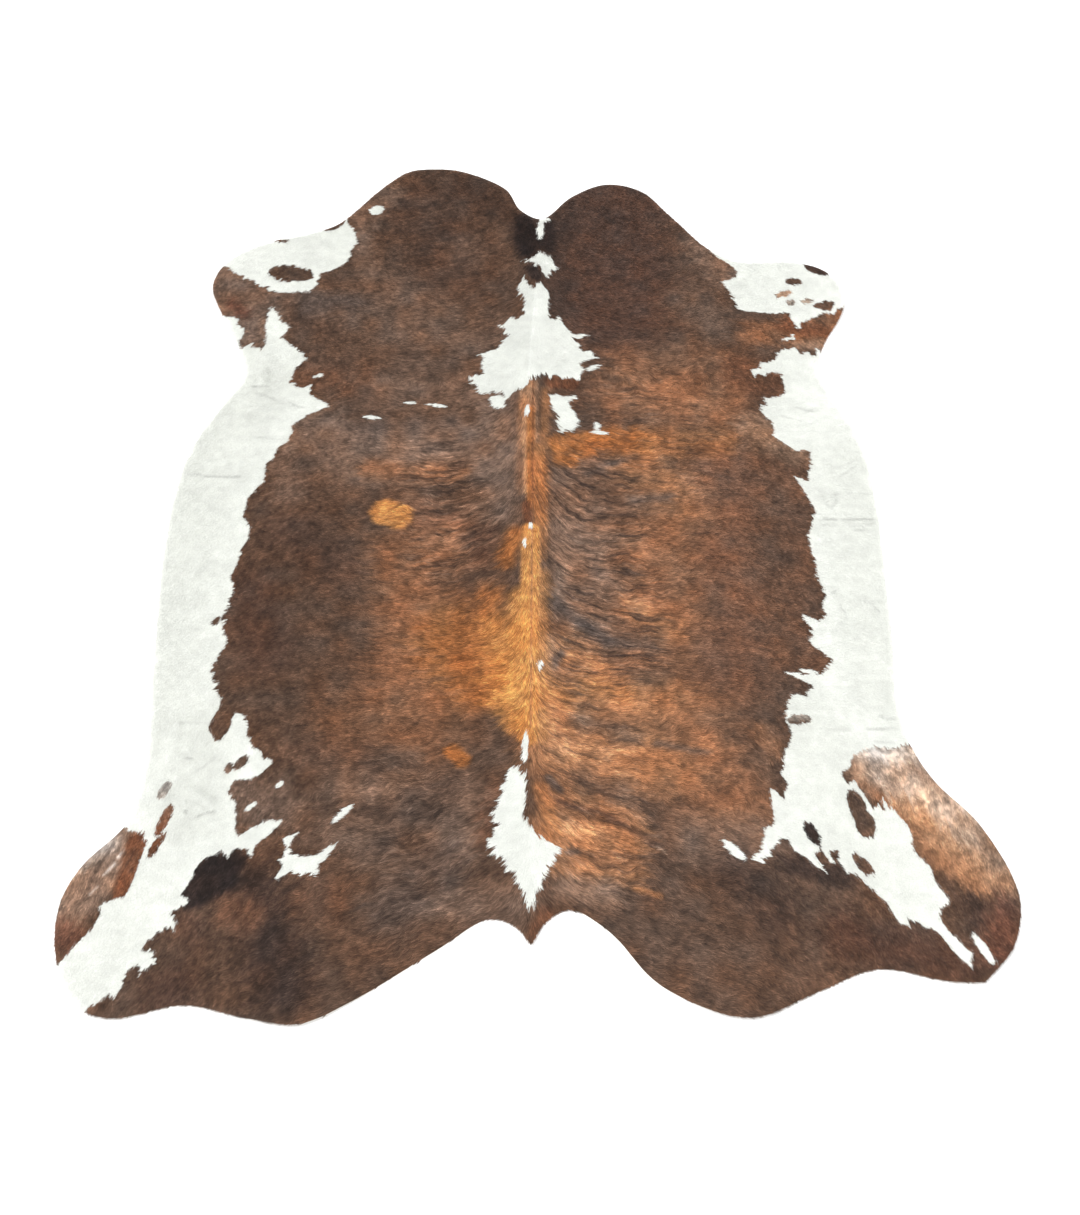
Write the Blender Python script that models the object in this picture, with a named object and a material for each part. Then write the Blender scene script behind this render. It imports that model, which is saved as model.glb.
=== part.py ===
"""Cowhide rug: one whole tanned hide with its hair on, lying flat on the floor.

Units are metres. +Z is up, +Y runs towards the neck, +X is the right side seen from above.
The underside rests on z = 0 and the origin is under the middle of the rug's box.

The hide is one closed sheet. Its knife-cut edge is a smooth line through the landmarks of a hide,
its thickness is the skin plus the lying coat, and its relief is what a hide keeps from having been
folded in a parcel: a ridge down the back, fold lines across it, puckers in the thin belly skin and
edges that stand a little off the floor.
"""
import math

import bmesh
import bpy
from mathutils import Vector
from mathutils.geometry import delaunay_2d_cdt

# ---- sheet -------------------------------------------------------------------------------------
SKIN = 0.0020            # tanned skin at its cut edge
COAT_BACK = 0.0028       # lying hair over the thick skin of the back
COAT_BELLY = 0.0014      # lying hair over the thin skin of the bellies
BACK_HALF_WIDTH = 0.55   # from the backbone to where the belly skin starts
EDGE_ROUND = 0.009       # the coat thins out over this much at the cut edge

# ---- mesh steps --------------------------------------------------------------------------------
GRID = 0.047             # open field
RIM_STEP = 0.032         # longest step along the cut edge
RIM_LEAST = 0.012        # shortest step along the cut edge
RIM_TURN = math.radians(11.0)    # most that the edge turns in one step
FOLD_STEP = 0.048        # along a fold line
FOLD_ROWS = (-1.0, -0.5, 0.0, 0.5, 1.0)      # across a fold, in half widths
FOLD_CLEAR = 0.011       # closest that a fold's point may lie to another
GRID_CLEAR = 0.028       # closest that a point of the open field may lie to another

# ---- cut edge ----------------------------------------------------------------------------------
# Landmarks of the hide, counterclockwise from the nape. A sharp one is a corner of the cut.
EDGE = (
    # name                      x       y     sharp
    ("nape notch",            0.005,  0.976, False),
    ("left neck, inner foot", -0.055, 1.010, False),
    ("left neck, inner",     -0.100,  1.095, False),
    ("left neck crown",      -0.225,  1.161, False),
    ("left neck, top",       -0.300,  1.170, False),
    ("left neck crown, end", -0.378,  1.161, False),
    ("left neck, outer",     -0.452,  1.098, False),
    ("left shoulder",        -0.570,  0.955, False),
    ("left front leg, root", -0.650,  0.918, False),
    ("left front leg",       -0.770,  0.880, False),
    ("left front toe, fore", -0.860,  0.808, False),
    ("left front toe",       -0.888,  0.715, False),
    ("left front toe, rear", -0.852,  0.620, False),
    ("left elbow",           -0.780,  0.480, False),
    ("left armpit",          -0.764,  0.405, False),
    ("left brisket",         -0.803,  0.325, False),
    ("left girth",           -0.862,  0.200, False),
    ("left belly, fore",     -0.888,  0.020, False),
    ("left belly",           -0.888, -0.150, False),
    ("left belly, rear",     -0.862, -0.440, False),
    ("left flank",           -0.842, -0.660, False),
    ("left stifle",          -0.862, -0.772, False),
    ("left hock",            -0.940, -0.865, False),
    ("left hind toe, outer", -0.968, -0.940, False),
    ("left hind toe",        -0.950, -1.052, False),
    ("left hind toe, tip",   -0.885, -1.142, False),
    ("left hind toe, inner", -0.820, -1.158, False),
    ("left hind hollow",     -0.690, -1.134, False),
    ("left rump, outer",     -0.560, -1.159, False),
    ("left rump lobe",       -0.460, -1.168, False),
    ("left rump, inner",     -0.370, -1.130, False),
    ("left thigh",           -0.200, -1.028, False),
    ("left tail arch",       -0.100, -0.970, False),
    ("tail root, left",      -0.045, -0.988, False),
    ("tail tip",             -0.018, -1.022, True),
    ("tail root, right",      0.010, -0.978, False),
    ("right tail arch",       0.060, -0.952, False),
    ("right thigh",           0.140, -0.997, False),
    ("right rump, inner",     0.235, -1.097, False),
    ("right rump lobe",       0.400, -1.157, False),
    ("right rump, outer",     0.540, -1.110, False),
    ("right hind hollow",     0.665, -1.067, False),
    ("right hind toe, inner", 0.800, -1.090, False),
    ("right hind toe, tip",   0.868, -1.092, True),
    ("right hind toe",        0.938, -1.022, False),
    ("right hind toe, outer", 0.968, -0.920, False),
    ("right hock",            0.920, -0.780, False),
    ("right stifle",          0.835, -0.675, False),
    ("right flank",           0.787, -0.550, False),
    ("right belly, rear",     0.796, -0.350, False),
    ("right belly",           0.813,  0.000, False),
    ("right girth",           0.792,  0.225, False),
    ("right brisket",         0.745,  0.340, False),
    ("right armpit",          0.720,  0.415, False),
    ("right elbow",           0.745,  0.510, False),
    ("right front toe, rear", 0.805,  0.615, False),
    ("right front toe",       0.820,  0.675, False),
    ("right front toe, fore", 0.782,  0.772, False),
    ("right front leg",       0.690,  0.811, False),
    ("right front leg, root", 0.550,  0.813, False),
    ("right shoulder",        0.470,  0.858, False),
    ("right neck, outer",     0.370,  0.985, False),
    ("right neck crown, end", 0.290,  1.083, False),
    ("right neck crown",      0.190,  1.108, False),
    ("right neck, inner",     0.090,  1.060, False),
)

# ---- folds -------------------------------------------------------------------------------------
# Lines that the parcel left, as soft ridges. Each runs from (x0, y0) to (x1, y1).
FOLDS = (
    # name                     x0      y0      x1      y1   half width  height
    ("back",                -0.028,  0.420, -0.018, -0.600,   0.036,   0.0050),
    ("loin",                -0.920, -0.561,  0.860, -0.544,   0.030,   0.0030),
    ("girth, right",         0.090, -0.015,  0.890, -0.029,   0.028,   0.0030),
    ("girth, left",         -0.960,  0.130, -0.600,  0.124,   0.028,   0.0028),
    ("shoulder, left",      -0.560,  0.285, -0.120,  0.312,   0.026,   0.0022),
)
BACK_PART = 0.0022       # depth of the parting in the hair along the top of the back ridge
FOLD_END = 0.070         # a fold fades in over this much at each end

# Short puckers in the thin skin: middle, length along `turn` (degrees from +X), width and height.
PUCKERS = (
    # name                        x       y    length  width  turn  height
    ("right armpit, upper",     0.700,  0.440,  0.120, 0.040,   58, 0.0045),
    ("right armpit, lower",     0.668,  0.305,  0.150, 0.044,   12, 0.0045),
    ("right belly, fore",       0.725,  0.120,  0.140, 0.046,  -55, 0.0040),
    ("right belly, middle",     0.720, -0.120,  0.130, 0.044,   25, 0.0030),
    ("right belly, rear",       0.700, -0.235,  0.150, 0.048,  -50, 0.0045),
    ("right flank, edge",       0.740, -0.470,  0.130, 0.044,   70, 0.0035),
    ("left armpit",            -0.715,  0.400,  0.140, 0.044,  100, 0.0040),
    ("left brisket",           -0.700,  0.300,  0.150, 0.044,  -12, 0.0030),
    ("left belly",             -0.800, -0.140,  0.140, 0.048,   80, 0.0030),
    ("left flank, upper",      -0.770, -0.635,  0.140, 0.044,   18, 0.0040),
    ("left flank, lower",      -0.790, -0.715,  0.120, 0.040,   62, 0.0035),
    ("left stifle, upper",     -0.712, -0.720,  0.120, 0.038,  -35, 0.0050),
    ("left stifle, lower",     -0.672, -0.775,  0.110, 0.038,   10, 0.0045),
)

# Edges and lobes that stand a little off the floor: a smooth dome of this radius.
LIFTS = (
    # name                     x       y    radius  height
    ("left neck crown",     -0.300,  1.190,  0.26, 0.0060),
    ("right neck crown",     0.190,  1.130,  0.22, 0.0050),
    ("left front toe",      -0.900,  0.720,  0.24, 0.0085),
    ("right front toe",      0.840,  0.690,  0.22, 0.0075),
    ("left belly, fore",    -0.910,  0.060,  0.17, 0.0050),
    ("left belly, rear",    -0.880, -0.400,  0.16, 0.0045),
    ("right belly, fore",    0.830,  0.130,  0.15, 0.0050),
    ("right belly, rear",    0.815, -0.330,  0.16, 0.0055),
    ("left hind toe",       -0.960, -1.110,  0.26, 0.0090),
    ("right hind toe",       0.960, -1.030,  0.25, 0.0085),
    ("left rump lobe",      -0.480, -1.200,  0.22, 0.0060),
    ("right rump lobe",      0.400, -1.190,  0.22, 0.0065),
    ("tail",                -0.015, -1.040,  0.10, 0.0050),
)


# ---- curves and distances ----------------------------------------------------------------------
def knot_gap(a, b):
    """Parameter step between two landmarks, which keeps the curve free of loops."""
    return max((b - a).length, 1e-6) ** 0.5


def curve_point(before, start, end, after, t):
    """Point at t (0 to 1) on the smooth curve from start to end, led by its neighbours."""
    g0, g1, g2 = knot_gap(before, start), knot_gap(start, end), knot_gap(end, after)
    slope_start = (start - before) / g0 - (end - before) / (g0 + g1) + (end - start) / g1
    slope_end = (end - start) / g1 - (after - start) / (g1 + g2) + (after - end) / g2
    tt, ttt = t * t, t * t * t
    return (
        start * (2 * ttt - 3 * tt + 1)
        + slope_start * (g1 * (ttt - 2 * tt + t))
        + end * (3 * tt - 2 * ttt)
        + slope_end * (g1 * (ttt - tt))
    )


def fine_edge(samples=24):
    """The cut edge as a dense closed run of (point, is_corner)."""
    marks = [(Vector((x, y)), sharp) for _, x, y, sharp in EDGE]
    count = len(marks)
    run = []
    for i in range(count):
        (start, start_sharp), (end, end_sharp) = marks[i], marks[(i + 1) % count]
        before = start * 2 - end if start_sharp else marks[i - 1][0]
        after = end * 2 - start if end_sharp else marks[(i + 2) % count][0]
        for k in range(samples):
            point = curve_point(before, start, end, after, k / samples)
            run.append((point, start_sharp and k == 0))
    return run


def edge_points():
    """The cut edge at the mesh's own steps, closer where it turns."""
    run = fine_edge()
    count = len(run)
    points = [run[0][0]]
    walked = turned = 0.0
    for i in range(1, count):
        here, corner = run[i]
        step_in, step_out = here - run[i - 1][0], run[(i + 1) % count][0] - here
        walked += step_in.length
        turned += abs(step_in.angle_signed(step_out, 0.0))
        if corner and walked < RIM_LEAST:
            points.pop()
        if corner or walked >= RIM_STEP or (turned >= RIM_TURN and walked >= RIM_LEAST):
            points.append(here)
            walked = turned = 0.0
    if (points[-1] - points[0]).length < RIM_LEAST:
        points.pop()
    return points


def inset_points(points, depth):
    """The same loop, moved inwards by depth along the middle of each corner."""
    count = len(points)
    moved = []
    for i, here in enumerate(points):
        along = (points[(i + 1) % count] - points[i - 1]).normalized()
        moved.append(here + Vector((-along.y, along.x)) * depth)
    return moved


def inside(point, loop):
    """True where the point lies inside the loop."""
    odd = False
    a = loop[-1]
    for b in loop:
        if (a.y > point.y) != (b.y > point.y):
            if point.x < (b.x - a.x) * (point.y - a.y) / (b.y - a.y) + a.x:
                odd = not odd
        a = b
    return odd


def fade(t):
    """Smooth step from 0 at t = 0 to 1 at t = 1."""
    t = min(max(t, 0.0), 1.0)
    return t * t * (3.0 - 2.0 * t)


# ---- relief ------------------------------------------------------------------------------------
def fold_frame(fold):
    """Start, direction, side direction and length of a fold line."""
    _, x0, y0, x1, y1, _, _ = fold
    start, end = Vector((x0, y0)), Vector((x1, y1))
    along = (end - start).normalized()
    return start, along, Vector((-along.y, along.x)), (end - start).length


def fold_place(point, fold):
    """Place of a point on a fold: across in half widths, and how far the fold has faded in."""
    start, along, side, length = fold_frame(fold)
    offset = point - start
    run = offset.dot(along)
    strength = fade(run / FOLD_END) * fade((length - run) / FOLD_END)
    return offset.dot(side) / fold[5], strength


def ridge(across):
    """Round ridge of height 1, which ends level at 1 half width."""
    return 0.5 + 0.5 * math.cos(math.pi * across) if abs(across) < 1.0 else 0.0


def pucker_place(point, pucker):
    """Place of a point on a pucker, along and across, each in half sizes."""
    _, x, y, length, width, turn, _ = pucker
    offset = point - Vector((x, y))
    along = Vector((math.cos(math.radians(turn)), math.sin(math.radians(turn))))
    return offset.dot(along) / (length / 2), offset.cross(along) / (width / 2)


def underside(point):
    """Height of the skin's underside: 0 where it lies on the floor."""
    height = 0.0
    for fold in FOLDS:
        across, strength = fold_place(point, fold)
        height = max(height, fold[6] * strength * ridge(across))
    for pucker in PUCKERS:
        along, across = pucker_place(point, pucker)
        height += pucker[6] * ridge(along) * ridge(across)
    for _, x, y, radius, rise in LIFTS:
        height += rise * fade(1.0 - (point - Vector((x, y))).length / radius)
    return height


def thickness(point):
    """Skin and lying coat, away from the cut edge."""
    belly = fade((abs(point.x) - BACK_HALF_WIDTH) / (1.0 - BACK_HALF_WIDTH) * 2.0)
    coat = COAT_BACK + (COAT_BELLY - COAT_BACK) * belly
    across, strength = fold_place(point, FOLDS[0])
    return SKIN + coat - BACK_PART * strength * ridge(across * 2.5)


# ---- points of the sheet -----------------------------------------------------------------------
def fold_points():
    """Rows of points along each fold line."""
    for fold in FOLDS:
        start, along, side, length = fold_frame(fold)
        steps = round(length / FOLD_STEP)
        for i in range(steps + 1):
            middle = start + along * (length * i / steps)
            for row in FOLD_ROWS:
                yield middle + side * (row * fold[5])


def pucker_points():
    """A small star of points on each pucker: its crest and its feet."""
    for _, x, y, length, width, turn, _ in PUCKERS:
        along = Vector((math.cos(math.radians(turn)), math.sin(math.radians(turn))))
        side = Vector((-along.y, along.x))
        for run in (-1.0, -0.5, 0.0, 0.5, 1.0):
            for row in (-1.0, 0.0, 1.0):
                reach = 1.0 - 0.6 * abs(run)
                yield Vector((x, y)) + along * (run * length / 2) + side * (row * reach * width / 2)


def grid_points():
    """Staggered rows over the whole box of the hide."""
    row_step = GRID * math.sqrt(3.0) / 2.0
    xs = [x for _, x, _, _ in EDGE]
    ys = [y for _, _, y, _ in EDGE]
    rows = int((max(ys) - min(ys)) / row_step) + 2
    columns = int((max(xs) - min(xs)) / GRID) + 2
    for j in range(rows):
        for i in range(columns):
            yield Vector((min(xs) + (i + 0.5 * (j % 2)) * GRID, min(ys) + j * row_step))


def cell_of(point):
    """The square of the plan that holds the point."""
    return math.floor(point.x / GRID), math.floor(point.y / GRID)


def is_clear(point, cells, gap):
    """True where no kept point lies nearer than gap."""
    column, row = cell_of(point)
    for i in (-1, 0, 1):
        for j in (-1, 0, 1):
            for other in cells.get((column + i, row + j), ()):
                if (other - point).length < gap:
                    return False
    return True


def sheet_points(rim, shoulder):
    """All plan points: the cut edge, the shoulder of the coat inside it, and the field."""
    points = list(rim) + list(shoulder)
    cells = {}
    for point in points:
        cells.setdefault(cell_of(point), []).append(point)
    fields = ((fold_points(), FOLD_CLEAR), (pucker_points(), FOLD_CLEAR), (grid_points(), GRID_CLEAR))
    for field, gap in fields:
        for point in field:
            if is_clear(point, cells, gap) and inside(point, shoulder):
                points.append(point)
                cells.setdefault(cell_of(point), []).append(point)
    return points


def triangles(points, loops):
    """Delaunay triangles of the points inside the first loop; the loops stay as edges."""
    edges = []
    for first, count in loops:
        edges += [(first + i, first + (i + 1) % count) for i in range(count)]
    result = delaunay_2d_cdt(points, edges, [], 1, 1e-7)
    vertices, faces = result[0], result[2]
    if len(vertices) != len(points):
        raise ValueError("two lines of the sheet cross")
    return [tuple(face) for face in faces]


# ---- the solid ---------------------------------------------------------------------------------
def build_hide():
    """One closed sheet: its top, its underside and the wall of its cut edge."""
    rim = edge_points()
    shoulder = inset_points(rim, EDGE_ROUND)
    count = len(rim)
    points = sheet_points(rim, shoulder)
    top_faces = triangles(points, [(0, count), (count, count)])

    mesh = bmesh.new()
    top = []
    for i, point in enumerate(points):
        sheet = SKIN if i < count else thickness(point)
        top.append(mesh.verts.new((point.x, point.y, underside(point) + sheet)))

    # The underside needs points only where it leaves the floor.
    low_points = rim + [p for p in points[count:] if underside(p) > 0.0]
    low = [mesh.verts.new((p.x, p.y, underside(p))) for p in low_points]
    low_faces = triangles(low_points, [(0, count)])

    for a, b, c in top_faces:
        mesh.faces.new((top[a], top[b], top[c]))
    for a, b, c in low_faces:
        mesh.faces.new((low[c], low[b], low[a]))
    for i in range(count):
        j = (i + 1) % count
        mesh.faces.new((low[i], low[j], top[j]))
        mesh.faces.new((low[i], top[j], top[i]))
    bmesh.ops.recalc_face_normals(mesh, faces=mesh.faces)
    data = bpy.data.meshes.new("hide")
    mesh.to_mesh(data)
    mesh.free()
    return data


def coat_material():
    """Brown cow hair with a low sheen."""
    material = bpy.data.materials.new("brown cow hair")
    material.use_nodes = True
    shader = material.node_tree.nodes["Principled BSDF"]
    shader.inputs["Base Color"].default_value = (0.105, 0.049, 0.030, 1.0)
    shader.inputs["Roughness"].default_value = 0.62
    shader.inputs["Metallic"].default_value = 0.0
    material.diffuse_color = (0.105, 0.049, 0.030, 1.0)
    return material


def main():
    for item in list(bpy.data.objects):
        bpy.data.objects.remove(item, do_unlink=True)
    hide = bpy.data.objects.new("hide", build_hide())
    hide.data.materials.append(coat_material())
    hide.data.shade_smooth()
    hide.data.set_sharp_from_angle(angle=math.radians(40.0))
    bpy.context.scene.collection.objects.link(hide)


main()
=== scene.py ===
"""Looks of the cowhide rug: its skin as a fine sheet, and its coat as short hair lying on it.

Units are metres, +Z is up, +Y runs towards the neck and +X is the right side seen from above.
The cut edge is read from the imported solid, and the relief repeats that solid's own folds. All
else is worked out from the lie of the hair: strands leave the backbone and run out and down the
ribs, and white borders, brindle and each single hair follow them.
"""
import math

import bpy
import numpy as np
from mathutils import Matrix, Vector
from mathutils.geometry import delaunay_2d_cdt


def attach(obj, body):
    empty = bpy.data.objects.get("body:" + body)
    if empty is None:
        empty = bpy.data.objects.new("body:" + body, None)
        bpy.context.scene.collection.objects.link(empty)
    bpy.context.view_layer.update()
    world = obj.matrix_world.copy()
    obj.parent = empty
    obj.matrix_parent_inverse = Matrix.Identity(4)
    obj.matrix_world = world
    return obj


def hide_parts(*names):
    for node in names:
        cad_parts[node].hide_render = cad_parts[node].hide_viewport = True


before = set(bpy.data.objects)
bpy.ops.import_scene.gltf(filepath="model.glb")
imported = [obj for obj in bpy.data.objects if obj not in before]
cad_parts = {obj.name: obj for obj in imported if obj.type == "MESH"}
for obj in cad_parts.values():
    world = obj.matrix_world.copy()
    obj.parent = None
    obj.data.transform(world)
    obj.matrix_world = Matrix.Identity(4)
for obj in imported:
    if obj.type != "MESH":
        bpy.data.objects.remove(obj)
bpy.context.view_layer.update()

# ---- the sheet ----
SKIN = 0.0020  # tanned skin at its cut edge
COAT_BACK = 0.0028  # lying hair over the thick skin of the back
COAT_BELLY = 0.0014  # lying hair over the thin skin of the bellies
BELLY = (0.55, 0.775)  # from the middle to where the belly skin starts, and is thinnest
EDGE_ROUND = 0.009  # the coat thins out over this much at the cut edge
UNDERCOAT = 0.45  # share of the coat that is packed down to a closed layer
EDGE_STEP = 0.005  # along the cut edge
TOP_STEP = 0.0085  # open field of the top
LOW_STEP = 0.026  # open field of the underside
EDGE_BULGE = 0.0003  # the cut edge stands out this much at half its height
CORNER = math.radians(30.0)  # the edge turns by more than this only at a corner
DOWNWARD = -0.5  # the underside's faces point down by more than this
EDGE_CLEAR = 0.7  # from the cut edge to the open field, in its steps
EDGE_CLEAR_ROUND = 0.4  # and at least this share of the rounding
FIELD_STEP = 0.008  # steps of the map of distances to the cut edge
FIELD_MARGIN = 0.040

# ---- the hair ----
HAIR_GAP = 0.00228  # from root to root
HAIR_SHAKE = 0.45  # a root lies up to this share of the gap off its place
HAIR_LENGTH = 0.0135  # over the back
HAIR_SHORT = 0.0085  # on the neck, flanks and legs
HAIR_WIDTH = 0.0020  # of one lock, at its root
HAIR_SINK = 0.0004  # roots below the undercoat
HAIR_RISE = 0.0008  # tips over the coat
HAIR_FRAY = math.radians(9.0)  # a lock lies this far off its neighbours
HAIR_OVERHANG = 0.005  # most that a tip stands over the cut edge
HAIR_PIECES = ("hair_left_flank", "hair_left_back", "hair_right_back", "hair_right_flank")
HAIR_SEED = 7
HAIR_ROLL = 0.35  # slope of a lock to its side
PALE_ROLL = 0.8  # white locks lose this share of it
LENGTH_SPREAD = (0.75, 1.25)  # shares of the length, the width and so on that locks have
WIDTH_SPREAD = (0.8, 1.2)
RISE_SPREAD = (0.4, 1.6)
OVERHANG_SPREAD = (0.3, 1.0)
SHORTEST = 0.1  # share of its length that a lock keeps at the cut edge
ROOT_CLEAR = 0.0006  # from the cut edge to the nearest root
TUFT_TURN = math.radians(8.0)  # tufts lie this far off the others
TUFT_SIZE = 0.014
TIP_DROOP = 0.35  # fall of a tip per metre over the cut edge
LOCK_SPREAD = 0.13  # locks differ in tone by this share
PALE_SPREAD = 0.9  # white locks lose this share of that
ROOT_PAINTED_SHADE = 0.72  # painted shade on dark hair at its root, where the locks overlap
TIP_PAINTED_LIGHT = 1.10  # and painted light at its tip, which lies on top
PALE_ROOT_PAINTED_SHADE = 0.95  # painted shade on white hair at its root
PALE = (170.0, 220.0)  # green levels from which hair counts as pale, and as white
# Painted shade: the undercoat that shows between the locks is darker by this share.
UNDERCOAT_PAINTED_SHADE = 0.80
PALE_UNDERCOAT = 0.16  # white undercoat is lighter by this share, so it carries less painted shade

# ---- baked map, in metres for its whole width ----
TOP_MAP = 3.10
LOW_MAP = 5.40
HAIR_MAP = 1.22
MAP_GAP = 0.004
LOW_LEFT = 0.636  # where the underside starts
HAIR_CLEAR = 0.02  # round each strip of hair
WALL_LENGTHS = 4  # the cut edge is unrolled in this many lengths
WALL_LEFT = 0.005  # in shares of the map, as all below
WALL_WIDTH = 0.985
WALL_LOW = 0.79
WALL_RISE = 0.036
WALL_APART = 1.3  # from length to length, in rises

# ---- view and light ----
PHOTO_HEIGHT = 1215  # pixels
FOCAL_PIXELS = 1083
SENSOR = 36.0  # mm, along the photo's height
VIEW_ELEVATION = math.radians(62.5)
VIEW_DISTANCE = 2.50
VIEW_POINT = Vector((0.0, -0.265, 0.0))
FLOOR_DROP = -0.0002  # the floor lies this far under the suede
FLOOR_HALF = 14.0
FLOOR_TONE = 0.90
SKY_STRENGTH = 1.27
KEY_STRENGTH = 1.65
KEY_ANGLE = math.radians(24.0)  # across
KEY_FROM = (-0.62, 0.42, 1.0)

MM = 1000.0  # in a metre


def table(units, *rows):
    """Rows in metres and shares. Each sign is a column: m in mm, % in percent, - as it is."""
    scale = {"m": MM, "%": 100.0}
    return [[v / scale[u] if u in scale else v for v, u in zip(row, units)] for row in rows]


# ---- relief, as in the solid ----
# Fold lines that the parcel left, as soft ridges from (x0, y0) to (x1, y1).
FOLDS = table(
    "mmmmmm",  # x0, y0, x1, y1, half width, height
    # back and loin
    (-28,420,-18,-600,36,5), (-920,-561,860,-544,30,3),
    # girth, right and left
    (90,-15,890,-29,28,3), (-960,130,-600,124,28,2.8),
    # left shoulder
    (-560,285,-120,312,26,2.2),
)
BACK_PART = 0.0022  # depth of the parting in the hair along the top of the back ridge
PART_NARROWER = 2.5  # the ridge is this many times as wide
FOLD_END = 0.070  # a fold fades in over this much at each end

# Short puckers in the thin skin: middle, length along `turn` (degrees from +X), width and height.
PUCKERS = table(
    "mmmm-m",  # x, y, length, width, turn, height
    # right side
    (700,440,120,40,58,4.5), (668,305,150,44,12,4.5), (725,120,140,46,-55,4), (720,-120,130,44,25,3),
    (700,-235,150,48,-50,4.5), (740,-470,130,44,70,3.5),
    # left side
    (-715,400,140,44,100,4), (-700,300,150,44,-12,3), (-800,-140,140,48,80,3), (-770,-635,140,44,18,4),
    (-790,-715,120,40,62,3.5), (-712,-720,120,38,-35,5), (-672,-775,110,38,10,4.5),
)

# Narrow creases in the thin skin: from (x0, y0) to (x1, y1), half width and strength. The strength sets
# their depth and the painted shade on the hair in them.
CREASES = table(
    "mmmmm%",  # x0, y0, x1, y1, half width, strength
    # right armpit
    (638,309,703,293,7,90), (604,287,671,260,5,60), (664,252,710,267,5,60), (605,236,744,232,4,50),
    # right brisket and girth
    (732,88,787,133,5,70), (717,118,782,141,5,50), (675,50,692,59,5,80), (697,30,736,52,5,60),
    (693,23,702,1,6,80), (701,-6,726,41,5,70), (745,48,812,47,5,70), (665,-31,813,-28,5,100),
    (667,-45,807,-47,5,60), (590,-13,664,-12,4,160),
    # right belly
    (743,-59,782,-56,5,60), (661,-90,703,-87,4,40), (670,-236,699,-216,6,100), (670,-212,704,-219,5,60),
    (688,-255,705,-301,7,80), (747,-245,787,-288,6,70),
    # right flank
    (701,-564,785,-564,6,100), (734,-537,789,-542,6,110), (714,-591,780,-600,5,70),
    (601,-564,684,-569,4,40), (645,-473,698,-464,5,40),
    # left armpit and brisket
    (-756,383,-690,371,7,70), (-734,359,-645,315,6,60), (-647,327,-593,303,5,90),
    (-732,217,-628,209,5,50), (-836,311,-799,315,5,40),
    # left girth and belly
    (-872,101,-730,95,6,100), (-870,-14,-858,-20,7,90), (-837,-149,-821,-152,8,90),
    (-788,-323,-737,-317,4,40),
    # left flank and stifle
    (-768,-631,-739,-636,5,120), (-738,-669,-690,-619,6,70), (-804,-551,-715,-552,4,40),
    (-755,-742,-732,-762,5,130), (-732,-762,-672,-746,5,130),
    # folds through the brown
    (-620,-556,-390,-555,4,130), (300,-548,520,-549,4,80), (-540,290,-440,297,4,100),
)
CREASE_DEPTH = 0.0012  # of a crease with a strength of 1
CREASE_END = 0.014  # it fades out over this much at its ends
CREASE_PAINTED_SHADE = 0.09  # painted shade: the hair in it is this much darker

# Edges and lobes that stand a little off the floor: a smooth dome of this radius.
LIFTS = table(
    "mmmm",  # x, y, radius, height
    # neck and front toes
    (-300,1190,260,6), (190,1130,220,5), (-900,720,240,8.5), (840,690,220,7.5),
    # bellies
    (-910,60,170,5), (-880,-400,160,4.5), (830,130,150,5), (815,-330,160,5.5),
    # hind toes, rump lobes and tail
    (-960,-1110,260,9), (960,-1030,250,8.5), (-480,-1200,220,6), (400,-1190,220,6.5), (-15,-1040,100,5),
)

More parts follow.
